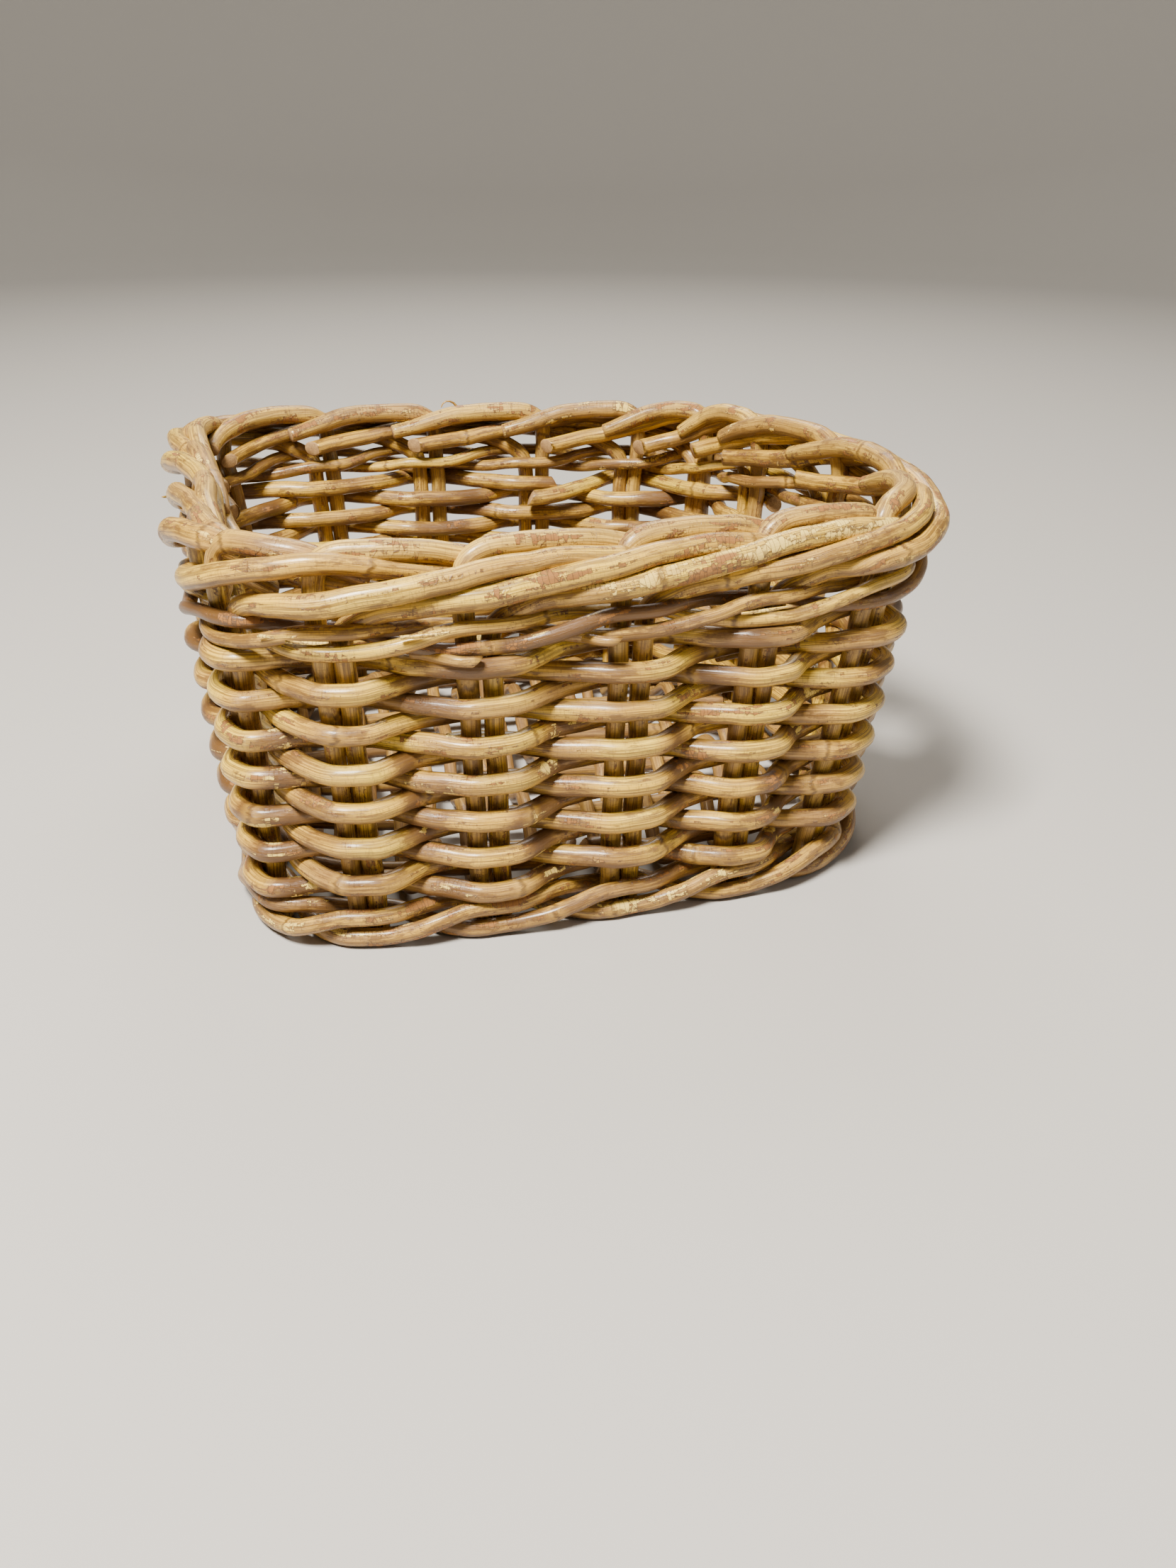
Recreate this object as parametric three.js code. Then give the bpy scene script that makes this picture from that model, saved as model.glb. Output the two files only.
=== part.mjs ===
// A woven rattan basket, open at the top, with a hand hole in each end.
// Uprights stand in pairs around a woven base: a stake, and a shorter bye-stake
// beside it. Three-rod wales bind their feet and their tops, and plain weaving
// fills the wall. Over the top wale every stake bends to the right and rolls on
// round the rim, so that the stakes' own ends make the thick border.
// Millimetres, +Z up, origin at the centre of the foot.
import * as THREE from 'three';

// ---------------------------------------------------------------- sizes
// Wall: a barrel-sided rectangle in plan that flares towards the top.
const FOOT_HALF_WIDTH = 180;       // stake line at the floor, along X
const FOOT_HALF_DEPTH = 168;       // stake line at the floor, along Y
const END_FLARE = 0.097;           // outward lean of the short ends, mm per mm
const SIDE_FLARE = 0.065;          // outward lean of the long sides, mm per mm
const CORNER_POWER = 4.2;          // superellipse power: higher is squarer
const STAKE_PAIRS = 18;            // pairs of upright canes around the wall, a whole number

// Canes, by finished thickness.
const STAKE_THICKNESS = 11;
const WEAVER_THICKNESS = 10.8;
const FOOT_WALE_THICKNESS = 9.8;
const TOP_WALE_THICKNESS = 8;
const BORDER_THICKNESS = 12;       // the stakes' thick ends, where they form the border
const BASE_STICK_THICKNESS = 9;
const BASE_WEAVER_THICKNESS = 8.5;

// Fits.
const CLEARANCE = 0.4;             // between canes that touch
const STAKE_FOOT_GAP = 1;          // the uprights' cut feet stand clear of the floor
const JOINT_GAP = 2;               // between the cut ends of a cane that goes right round
const PAIR_GAP = 1.8;              // between the two canes of a pair, at half height

// Weaving.
const FULL_ROWS = 9;               // rows that run right round the basket
const HAND_HOLE_ROWS = 4;          // rows that turn back beside the hand holes
const TURN_STEPS = 4;              // points round a turn-back
const TURN_EASE = 1.08;            // a turn-back bends this much wider than it needs
const WALE_BULGE = 5;              // a wale cane stands out by this between stakes
const WALE_RISE = 1.42;            // low stroke to high stroke, in cane thicknesses
const STROKE_REACH = 1.22;         // half length of a straight stroke, in pair half widths

// Border.
const BORDER_STRANDS = 4;          // strands across the roll, and spacings to one full turn
const BORDER_STEPS = 3;            // straight steps per stake spacing
const BORDER_RUN = 11;             // steps along the border before a stake's end is cut
const STAKE_BEND = 12;             // radius of the bend from upright to border
const BEND_STEPS = 3;              // points round that bend
const BORDER_EASE = 1.13;          // strands lie this much wider than touching

// Base.
const BASE_STICKS = 6;             // sticks that run from end to end
const BASE_PASSES = 16;            // passes of the base weaver from front to back
const BASE_FLOOR_GAP = 2;          // the base hangs clear of the floor
const BASE_BOW = 22;               // the outer sticks curve in by this to the last pass
const BASE_WRAP_EASE = 1.22;       // the base weaver bends this much wider than it needs
const BASE_END_MARGIN = 22;        // last pass to the inside of the foot wale
const BASE_STICK_OVERHANG = 7;     // the outer sticks run past the last pass

// Colours of the varnished canes.
const STAKE_COLOUR = '#c1935c';
const BYE_STAKE_COLOUR = '#8a5f38';
const WEAVER_COLOUR = '#b98a54';
const WALE_COLOUR = '#a97a47';
const BASE_COLOUR = '#9c7043';
const VARNISH_ROUGHNESS = 0.42;

// ---------------------------------------------------------------- worked-out sizes
const UP = new THREE.Vector3(0, 0, 1);

// A cane's section is a hexagon, flat above and below. Its half width is drawn in
// so that it has the area of a round cane of the same thickness.
const sectionHalfWidth = (thickness) => 0.525 * thickness;
const SECTION_SHOULDER = 0.275;

const pairCount = Math.round(STAKE_PAIRS);
const stakeHalf = STAKE_THICKNESS / 2;
const legOffset = (STAKE_THICKNESS + PAIR_GAP) / 2;
const pairHalfWidth = legOffset + stakeHalf;

// How far a passing cane's centre stays from the stake line.
const passOffset = (thickness) => stakeHalf + sectionHalfWidth(thickness) + CLEARANCE;

// Heights, from the floor up.
const rowPitch = WEAVER_THICKNESS + CLEARANCE;
const waleRise = (thickness) => WALE_RISE * thickness;
const footWaleLow = FOOT_WALE_THICKNESS / 2;
const footWaleHigh = footWaleLow + waleRise(FOOT_WALE_THICKNESS);
const footWaleTop = footWaleHigh + FOOT_WALE_THICKNESS / 2;
const rowHeight = (row) => footWaleTop + CLEARANCE + WEAVER_THICKNESS / 2 + row * rowPitch;
const totalRows = FULL_ROWS + HAND_HOLE_ROWS;
const weavingTop = rowHeight(totalRows - 1) + WEAVER_THICKNESS / 2;
const topWaleLow = weavingTop + CLEARANCE + TOP_WALE_THICKNESS / 2;
const topWaleHigh = topWaleLow + waleRise(TOP_WALE_THICKNESS);
const topWaleTop = topWaleHigh + TOP_WALE_THICKNESS / 2;

// Neighbouring border strands touch: their centres sit on a circle around the
// border's core, widened so that straight steps and the corners keep the gap.
const stepTurn = 2 * Math.PI / (BORDER_STRANDS * BORDER_STEPS);
const borderCore = BORDER_EASE * (BORDER_THICKNESS + CLEARANCE) / 2
  / (Math.sin(Math.PI / BORDER_STRANDS) * Math.cos(stepTurn / 2));
const borderHalf = borderCore + BORDER_THICKNESS / 2;
const borderHeight = topWaleTop + 2 * CLEARANCE + borderHalf;
const midHeight = borderHeight / 2;

// ---------------------------------------------------------------- the wall
const halfWidth = (z) => FOOT_HALF_WIDTH + END_FLARE * z;
const halfDepth = (z) => FOOT_HALF_DEPTH + SIDE_FLARE * z;

// The stake line in plan, counter-clockwise from the middle of the front.
class Outline extends THREE.Curve {
  constructor(width, depth) {
    super();
    this.width = width;
    this.depth = depth;
    this.arcLengthDivisions = 1440;
  }

  getPoint(t, target = new THREE.Vector3()) {
    const angle = 2 * Math.PI * t;
    const x = Math.sin(angle);
    const y = -Math.cos(angle);
    const reach = (Math.abs(x / this.width) ** CORNER_POWER
      + Math.abs(y / this.depth) ** CORNER_POWER) ** (-1 / CORNER_POWER);
    return target.set(x * reach, y * reach, 0);
  }
}

const outline = new Outline(halfWidth(midHeight), halfDepth(midHeight));
const stakeSpacing = outline.getLength() / pairCount;

// Places along the wall are counted in stake spacings from the middle of the
// front, so the stakes stand at the halves: 0.5, 1.5 and so on.
function wallFrame(place) {
  const share = THREE.MathUtils.euclideanModulo(place, pairCount) / pairCount;
  const t = outline.getUtoTmapping(share);
  const point = outline.getPoint(t);
  const tangent = outline.getTangent(t);
  const normal = new THREE.Vector3(tangent.y, -tangent.x, 0).normalize();
  return { point, normal };
}

// A point of the wall at a height, moved outward by an offset.
function wallPoint(place, z, offset = 0) {
  const { point, normal } = wallFrame(place);
  const scaled = new THREE.Vector3(
    point.x * halfWidth(z) / outline.width,
    point.y * halfDepth(z) / outline.depth,
    z,
  );
  return scaled.addScaledVector(normal, offset);
}

// Half the length of a straight stroke in front of a pair, in spacings.
const strokeHalf = STROKE_REACH * pairHalfWidth / stakeSpacing;

// How far the wall bows out of the straight line between a stroke's two ends.
function strokeBow(stake) {
  const ends = wallPoint(stake - strokeHalf, midHeight).add(wallPoint(stake + strokeHalf, midHeight));
  return ends.multiplyScalar(0.5).distanceTo(wallPoint(stake, midHeight));
}

// An outside stroke is pushed out by the bow, so that it clears the stakes at a corner.
const strokeOffset = (stake, side, pass) => side * pass + (side > 0 ? 1.5 * strokeBow(stake) : 0);

// ---------------------------------------------------------------- canes
function hexSection(thickness) {
  const shoulder = SECTION_SHOULDER * thickness;
  const point = sectionHalfWidth(thickness);
  const flat = thickness / 2;
  return [[point, 0], [shoulder, flat], [-shoulder, flat], [-point, 0], [-shoulder, -flat], [shoulder, -flat]];
}

// An octagon has a flat face towards each neighbour in the border.
function octagonSection(thickness) {
  const corner = thickness / 2 / Math.cos(Math.PI / 8);
  const angles = Array.from({ length: 8 }, (_, i) => (i + 0.5) * Math.PI / 4);
  return angles.map((angle) => [corner * Math.cos(angle), corner * Math.sin(angle)]);
}

// Sweeps a section along a run of points with mitred corners and flat cut ends.
// The section's height follows each point's own up direction, so a level cane has
// level flats above and below however it turns. A point may also swell the section.
function sweep(path, section) {
  const positions = [];
  const indices = [];
  const sides = section.length;
  const last = path.length - 1;
  path.forEach(({ at, up, swell = 1 }, i) => {
    const heading = (from, to) => {
      const step = path[to].at.clone().sub(path[from].at);
      return step.addScaledVector(up, -step.dot(up)).normalize();
    };
    const before = i > 0 ? heading(i - 1, i) : heading(i, i + 1);
    const after = i < last ? heading(i, i + 1) : before;
    const along = before.clone().add(after).normalize();
    const across = new THREE.Vector3().crossVectors(along, up).multiplyScalar(swell);
    const mitre = 1 / before.dot(along);
    for (const [x, y] of section) {
      const corner = at.clone().addScaledVector(across, x * mitre).addScaledVector(up, y * swell);
      positions.push(corner.x, corner.y, corner.z);
    }
  });
  for (let ring = 0; ring < last; ring += 1) {
    for (let side = 0; side < sides; side += 1) {
      const a = ring * sides + side;
      const b = ring * sides + (side + 1) % sides;
      indices.push(a, a + sides, b, b, a + sides, b + sides);
    }
  }
  for (let side = 1; side < sides - 1; side += 1) {
    const end = last * sides;
    indices.push(0, side, side + 1, end, end + side + 1, end + side);
  }
  const geometry = new THREE.BufferGeometry();
  geometry.setAttribute('position', new THREE.Float32BufferAttribute(positions, 3));
  geometry.setIndex(indices);
  geometry.computeVertexNormals();
  return geometry;
}

const basket = new THREE.Group();

function addCane(name, path, section, colour) {
  const material = new THREE.MeshStandardMaterial({
    color: colour,
    roughness: VARNISH_ROUGHNESS,
    metalness: 0,
  });
  const mesh = new THREE.Mesh(sweep(path, section), material);
  mesh.name = name;
  basket.add(mesh);
}

const label = (stem, number) => `${stem}_${String(number).padStart(2, '0')}`;
const level = (place, z, offset) => ({ at: wallPoint(place, z, offset), up: UP });

// ---------------------------------------------------------------- uprights
// The border's strands lie round its core. A strand starts underneath, over its own
// stake, rises up the outside, rolls over the top and dives down the inside.
function strandPoint(start, run) {
  const angle = 2 * Math.PI * run / BORDER_STRANDS - Math.PI / 2;
  const { normal } = wallFrame(start + run);
  const out = normal.clone().multiplyScalar(Math.cos(angle)).addScaledVector(UP, Math.sin(angle));
  const up = normal.clone().multiplyScalar(-Math.sin(angle)).addScaledVector(UP, Math.cos(angle));
  const at = wallPoint(start + run, borderHeight).addScaledVector(out, borderCore);
  return { at, up, swell: BORDER_THICKNESS / STAKE_THICKNESS };
}

// A stake stands on the right of its pair, bends to the right and runs on as a strand.
function stakePath(stake) {
  const place = stake + legOffset / stakeSpacing;
  const { normal } = wallFrame(place);
  const bendBase = borderHeight - borderCore - STAKE_BEND;
  const bend = Array.from({ length: BEND_STEPS }, (_, i) => {
    const angle = Math.PI / 2 * i / (BEND_STEPS - 0.5);
    const along = place + STAKE_BEND * (1 - Math.cos(angle)) / stakeSpacing;
    return { at: wallPoint(along, bendBase + STAKE_BEND * Math.sin(angle)), up: normal };
  });
  const strand = Array.from({ length: BORDER_RUN }, (_, i) => strandPoint(place, (i + 1) / BORDER_STEPS));
  return [{ at: wallPoint(place, STAKE_FOOT_GAP), up: normal }, ...bend, ...strand];
}

// A bye-stake stands on the left and ends between the border's strands.
function byeStakePath(stake) {
  const place = stake - legOffset / stakeSpacing;
  const { normal } = wallFrame(place);
  const heights = [STAKE_FOOT_GAP, borderHeight - borderCore];
  return heights.map((z) => ({ at: wallPoint(place, z), up: normal }));
}

for (let i = 0; i < pairCount; i += 1) {
  const section = octagonSection(STAKE_THICKNESS);
  addCane(label('stake', i + 1), stakePath(i + 0.5), section, STAKE_COLOUR);
  addCane(label('bye_stake', i + 1), byeStakePath(i + 0.5), section, BYE_STAKE_COLOUR);
}

// ---------------------------------------------------------------- plain weaving
// Rows alternate: outside one pair, inside the next, and the row above the other way.
const rowSide = (row, stake) => ((row + Math.round(stake - 0.5)) % 2 === 0 ? -1 : 1);
const weaverPass = passOffset(WEAVER_THICKNESS);

function rowStroke(row, stake, direction = 1) {
  const offset = strokeOffset(stake, rowSide(row, stake), weaverPass);
  const ends = [stake - direction * strokeHalf, stake + direction * strokeHalf];
  return ends.map((place) => level(place, rowHeight(row), offset));
}

// A full row starts and ends on the inside of one pair, where its two cut ends meet.
function fullRowPath(row) {
  const start = 0.5 + (5 * row) % pairCount;
  const joint = rowSide(row, start) < 0 ? start : start + 1;
  const gap = JOINT_GAP / 2 / stakeSpacing;
  const first = level(joint + gap, rowHeight(row), -weaverPass);
  const final = level(joint + pairCount - gap, rowHeight(row), -weaverPass);
  const strokes = [];
  for (let step = 1; step < pairCount; step += 1) strokes.push(...rowStroke(row, joint + step));
  const leave = level(joint + strokeHalf, rowHeight(row), -weaverPass);
  const arrive = level(joint + pairCount - strokeHalf, rowHeight(row), -weaverPass);
  return [first, leave, ...strokes, arrive, final];
}

for (let row = 0; row < FULL_ROWS; row += 1) {
  addCane(label('weaver_row', row + 1), fullRowPath(row), hexSection(WEAVER_THICKNESS), WEAVER_COLOUR);
}

// Beside a hand hole the cane turns back round the last pair and climbs one row.
const turnReach = (pairHalfWidth + sectionHalfWidth(WEAVER_THICKNESS) + CLEARANCE) / stakeSpacing;

function turnBack(row, stake, direction) {
  const side = rowSide(row, stake);
  return Array.from({ length: TURN_STEPS }, (_, i) => {
    const angle = Math.PI * (0.3 + 0.4 * i / (TURN_STEPS - 1));
    const z = rowHeight(row) + rowPitch * (i + 0.5) / TURN_STEPS;
    const place = stake + direction * TURN_EASE * turnReach * Math.sin(angle);
    return level(place, z, side * TURN_EASE * weaverPass * Math.cos(angle));
  });
}

// One cane weaves back and forth between the two hand holes.
function upperPath(firstStake, lastStake) {
  const path = [];
  for (let i = 0; i < HAND_HOLE_ROWS; i += 1) {
    const row = FULL_ROWS + i;
    const direction = i % 2 === 0 ? 1 : -1;
    const from = direction > 0 ? firstStake : lastStake;
    const to = direction > 0 ? lastStake : firstStake;
    for (let stake = from; stake !== to + direction; stake += direction) {
      path.push(...rowStroke(row, stake, direction));
    }
    if (i < HAND_HOLE_ROWS - 1) path.push(...turnBack(row, to, direction));
  }
  return path;
}

// The middle pair of each end stands in its hand hole.
const endMiddle = Math.floor(pairCount / 4) + 0.5;
const frontSpan = [-endMiddle + 1, endMiddle - 1];
const backSpan = [endMiddle + 1, pairCount - endMiddle - 1];
const weaverSection = hexSection(WEAVER_THICKNESS);
addCane('upper_weaver_front', upperPath(...frontSpan), weaverSection, WEAVER_COLOUR);
addCane('upper_weaver_back', upperPath(...backSpan), weaverSection, WEAVER_COLOUR);

// ---------------------------------------------------------------- wales
// Three canes take turns: each runs outside two pairs, rising from low to high,
// then goes in over its neighbours, behind one pair, and comes out below them.
// It ends behind a pair, after as many full turns as the pairs allow.
const WALE_RODS = 3;
const waleRun = WALE_RODS * Math.floor(pairCount / WALE_RODS);

function walePath(rod, thickness, low, high) {
  const pass = passOffset(thickness);
  const middle = (low + high) / 2;
  const gap = JOINT_GAP / 2 / stakeSpacing;
  const path = [level(rod + 0.5 + gap, middle, -pass)];
  for (let step = 0; step < waleRun; step += 1) {
    const stake = rod + 0.5 + step;
    const turn = step % WALE_RODS;
    const side = turn === 0 ? -1 : 1;
    const z = [middle, low, high][turn];
    const offset = strokeOffset(stake, side, pass);
    const between = [[0, low], [pass + WALE_BULGE, middle], [0, high]][turn];
    if (step > 0) path.push(level(stake - strokeHalf, z, offset));
    path.push(level(stake + strokeHalf, z, offset));
    path.push(level(stake + 0.5, between[1], between[0]));
  }
  path.push(level(rod + 0.5 + waleRun - strokeHalf, middle, -pass));
  path.push(level(rod + 0.5 + waleRun - gap, middle, -pass));
  return path;
}

for (let rod = 0; rod < WALE_RODS; rod += 1) {
  const foot = walePath(rod, FOOT_WALE_THICKNESS, footWaleLow, footWaleHigh);
  const top = walePath(rod, TOP_WALE_THICKNESS, topWaleLow, topWaleHigh);
  addCane(label('foot_wale', rod + 1), foot, hexSection(FOOT_WALE_THICKNESS), WALE_COLOUR);
  addCane(label('top_wale', rod + 1), top, hexSection(TOP_WALE_THICKNESS), WALE_COLOUR);
}

// ---------------------------------------------------------------- base
// Sticks run from end to end, evenly spaced, and draw together towards their ends.
// The two outer ones stop short of the corners, and the others reach the foot wale.
const baseThread = (BASE_STICK_THICKNESS + BASE_WEAVER_THICKNESS) / 2 + CLEARANCE;
const baseWrap = BASE_WRAP_EASE * baseThread;
const baseHeight = baseWrap + BASE_WEAVER_THICKNESS / 2 + BASE_FLOOR_GAP;
const footInside = passOffset(FOOT_WALE_THICKNESS) + sectionHalfWidth(FOOT_WALE_THICKNESS) + CLEARANCE;
const baseHalfWidth = halfWidth(baseHeight) - footInside;
const baseHalfDepth = halfDepth(baseHeight) - footInside - baseWrap - BASE_WEAVER_THICKNESS / 2;
const lastPass = baseHalfWidth - BASE_END_MARGIN;
const OUTER_STICKS = [0, BASE_STICKS - 1];

function stickDepth(stick, x) {
  const share = 2 * stick / (BASE_STICKS - 1) - 1;
  return share * (baseHalfDepth - BASE_BOW * (x / lastPass) ** 2);
}

// The inside of the foot wale at a depth.
function footWaleReach(depth) {
  const share = Math.abs(depth) / halfDepth(baseHeight);
  const line = halfWidth(baseHeight) * (1 - share ** CORNER_POWER) ** (1 / CORNER_POWER);
  return line - footInside;
}

function stickPath(stick) {
  const wale = footWaleReach(stickDepth(stick, baseHalfWidth)) - 3 * CLEARANCE;
  const reach = OUTER_STICKS.includes(stick) ? lastPass + BASE_STICK_OVERHANG : wale;
  return Array.from({ length: BASE_PASSES + 1 }, (_, i) => {
    const x = reach * (2 * i / BASE_PASSES - 1);
    return { at: new THREE.Vector3(x, stickDepth(stick, x), baseHeight), up: UP };
  });
}

for (let i = 0; i < BASE_STICKS; i += 1) {
  addCane(label('base_stick', i + 1), stickPath(i), hexSection(BASE_STICK_THICKNESS), BASE_COLOUR);
}

// One cane runs back and forth over and under the sticks, and turns round the outer ones.
function baseWeaverPath() {
  const pitch = 2 * lastPass / (BASE_PASSES - 1);
  const side = new THREE.Vector3(1, 0, 0);
  const path = [];
  for (let pass = 0; pass < BASE_PASSES; pass += 1) {
    const x = pass * pitch - lastPass;
    const heading = pass % 2 === 0 ? 1 : -1;
    const order = Array.from({ length: BASE_STICKS }, (_, i) => (heading > 0 ? i : BASE_STICKS - 1 - i));
    for (const stick of order) {
      const over = (pass + stick) % 2 === 0 ? 1 : -1;
      path.push(new THREE.Vector3(x, stickDepth(stick, x), baseHeight + over * baseWrap));
    }
    if (pass < BASE_PASSES - 1) path.push(...baseTurn(x, pitch, order[BASE_STICKS - 1], heading, pass));
  }
  return path.map((at) => ({ at, up: side }));
}

function baseTurn(x, pitch, stick, heading, pass) {
  const over = (pass + stick) % 2 === 0 ? 1 : -1;
  return [1, 2, 3].map((turn) => {
    const angle = turn * Math.PI / 4;
    const across = x + pitch * turn / 4;
    const y = stickDepth(stick, across) + heading * baseWrap * Math.sin(angle);
    return new THREE.Vector3(across, y, baseHeight + over * baseWrap * Math.cos(angle));
  });
}

addCane('base_weaver', baseWeaverPath(), hexSection(BASE_WEAVER_THICKNESS), BASE_COLOUR);

export default basket;
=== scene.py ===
# %% [markdown]
# # A woven rattan basket
# Every rod in this basket is one round cane of rattan that was cut to length, soaked
# and bent round its neighbours while it was wet. The script works the same way: it
# takes a straight cane, finds the route that the weaver's hands gave it, and bends
# the cane along that route. One object is made for each cane of the frame, so the
# sixty canes stay separate things that cross, press and tuck as the real ones do.
#
# The frame comes first. It says where each cane lies, and nothing here moves it.

import bmesh
import bpy
import numpy as np
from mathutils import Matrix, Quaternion, Vector


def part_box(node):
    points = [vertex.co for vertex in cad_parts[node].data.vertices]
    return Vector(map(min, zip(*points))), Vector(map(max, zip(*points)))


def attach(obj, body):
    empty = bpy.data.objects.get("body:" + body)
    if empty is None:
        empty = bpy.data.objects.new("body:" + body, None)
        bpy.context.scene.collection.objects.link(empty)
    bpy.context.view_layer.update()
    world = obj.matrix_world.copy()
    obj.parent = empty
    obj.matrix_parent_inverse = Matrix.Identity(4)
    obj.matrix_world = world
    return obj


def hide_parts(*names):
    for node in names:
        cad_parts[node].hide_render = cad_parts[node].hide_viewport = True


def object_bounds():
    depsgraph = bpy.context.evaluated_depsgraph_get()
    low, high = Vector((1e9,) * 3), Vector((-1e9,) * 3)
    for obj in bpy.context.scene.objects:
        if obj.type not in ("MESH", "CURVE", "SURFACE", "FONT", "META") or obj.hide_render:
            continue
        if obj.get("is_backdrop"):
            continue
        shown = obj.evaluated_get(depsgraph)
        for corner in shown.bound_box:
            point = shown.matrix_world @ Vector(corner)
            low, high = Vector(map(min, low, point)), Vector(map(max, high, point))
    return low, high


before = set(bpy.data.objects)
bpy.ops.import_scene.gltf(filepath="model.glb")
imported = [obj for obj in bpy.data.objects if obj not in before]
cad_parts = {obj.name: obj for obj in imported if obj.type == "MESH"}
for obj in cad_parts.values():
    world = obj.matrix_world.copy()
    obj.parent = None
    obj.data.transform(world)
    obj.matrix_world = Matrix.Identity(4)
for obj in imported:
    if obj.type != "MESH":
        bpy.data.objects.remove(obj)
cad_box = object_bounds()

MM = 0.001
low, high = cad_box
print("frame:", len(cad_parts), "canes,", [round(v / MM) for v in high - low], "mm")

# %% [markdown]
# ## Camera
# The basket is seen from in front, a little to its left, and from above, so that
# the inside of the back wall shows over the front border. The camera could be aimed
# with a constraint, but a place, a heading and a tilt say the same, and a roll gives
# the slight lean of a camera held by hand.

# %% Place the camera
def stand(name, data, place, aim, roll=0.0):
    """Puts a camera or lamp at a place, looking along a direction."""
    holder = bpy.data.objects.new(name, data)
    holder.location = place
    holder.rotation_mode = "QUATERNION"
    holder.rotation_quaternion = aim.to_track_quat("-Z", "Y") @ Quaternion((0, 0, 1), roll)
    bpy.context.scene.collection.objects.link(holder)
    return holder


CAMERA_PLACE = Vector((-0.115, -0.813, 0.426))
HEADING = -0.197  # radians to the left of straight ahead
TILT = 0.482  # radians down
ROLL = 0.009
SENSOR = 36  # mm wide
LENS = 41.2  # mm

aim = Vector((-np.sin(HEADING) * np.cos(TILT), np.cos(HEADING) * np.cos(TILT), -np.sin(TILT)))
lens = bpy.data.cameras.new("studio_camera")
lens.sensor_fit = "HORIZONTAL"
lens.sensor_width = SENSOR
lens.lens = LENS
bpy.context.scene.camera = stand("studio_camera", lens, CAMERA_PLACE, aim, ROLL)
print("camera:", [round(v, 3) for v in CAMERA_PLACE], "lens", LENS)

# %% [markdown]
# ## Sizes
# The plan sizes and cane thicknesses are the ones that the frame was drawn with. All
# heights are read from the frame's own canes, so rows and borders can't drift away
# from it. Work is in millimetres, because a cane is an 11 mm thing, and the mesh
# is turned to metres as the last step.

# %% Sizes of the wall and the canes
PAIRS = 18  # pairs of uprights, evenly spaced round the wall
FOOT_HALF_WIDTH = 180
FOOT_HALF_DEPTH = 168
END_FLARE = 0.097
SIDE_FLARE = 0.065
CORNER_POWER = 4.2

STAKE = 11  # thicknesses
WEAVER = 10.8
FOOT_WALE = 9.8
TOP_WALE = 8
BORDER = 12
BASE_STICK = 9
BASE_WEAVER = 8.5
GAP = 0.4  # between canes that touch
LEG = 5.9  # each upright of a pair stands this far from the pair's middle
HALF_WIDTH = 0.525  # half the width of a section in the frame, in thicknesses


def span(node):
    """Lowest and highest point of a node, in millimetres."""
    bottom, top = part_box(node)
    return bottom.z / MM, top.z / MM


# %% Heights from the frame
FOOT_LIFT = 0.7  # mm that keeps an uneven foot wale off the floor
FULL_ROWS = 9
HOLE_ROWS = 4
first_row = sum(span("weaver_row_01")) / 2
row_pitch = (sum(span("weaver_row_09")) / 2 - first_row) / (FULL_ROWS - 1)
rim_top = span("stake_01")[1]
border_core = (rim_top - span("bye_stake_01")[1] - BORDER / 2) / 2
border_height = rim_top - border_core - BORDER / 2
wale_low, wale_high = span("foot_wale_01")
foot_wale = wale_low + FOOT_WALE / 2 + FOOT_LIFT, wale_high - FOOT_WALE / 2
wale_low, wale_high = span("top_wale_01")
top_wale = wale_low + TOP_WALE / 2, wale_high - TOP_WALE / 2


def row_height(row):
    return first_row + row * row_pitch


print("rows start at %.1f, %.2f apart; border middle %.1f" % (first_row, row_pitch, border_height))

# %% [markdown]
# ## The wall
# In plan the wall is a rectangle with bowed sides and soft corners. A superellipse
# gives that from three numbers, where arcs would need a dozen. Places along it are
# counted in stake spacings from the middle of the front, counter-clockwise, so the
# pairs stand at 0.5, 1.5, 2.5 and so on.

# %% The outline, by distance along it
def half_plan(z):
    """Half the width and half the depth of the wall at a height."""
    return FOOT_HALF_WIDTH + END_FLARE * z, FOOT_HALF_DEPTH + SIDE_FLARE * z


mid_width, mid_depth = half_plan(border_height / 2)
turn = np.linspace(0, 2 * np.pi, 3601)
reach = (np.abs(np.sin(turn) / mid_width) ** CORNER_POWER
         + np.abs(np.cos(turn) / mid_depth) ** CORNER_POWER) ** (-1 / CORNER_POWER)
outline = np.stack([np.sin(turn) * reach, -np.cos(turn) * reach], axis=1)
walked = np.concatenate([[0], np.cumsum(np.linalg.norm(np.diff(outline, axis=0), axis=1))])
girth = walked[-1]
spacing = girth / PAIRS
tangents = np.gradient(outline, axis=0)
tangents[0] = tangents[-1] = (1, 0)
tangents /= np.linalg.norm(tangents, axis=1, keepdims=True)
print("girth %.0f mm, one stake every %.1f mm" % (girth, spacing))

# %% [markdown]
# A hand-made basket never keeps its drawn outline. It dries unevenly, and years of
# carrying pull one side out and push another in. That settling is a few long, low
# waves round the wall, one set at the foot and one at the rim, so neighbouring
# canes move together and nothing comes apart. Each pair of numbers is the cosine
# and sine part of a wave that goes once, twice, three and four times round.

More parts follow.
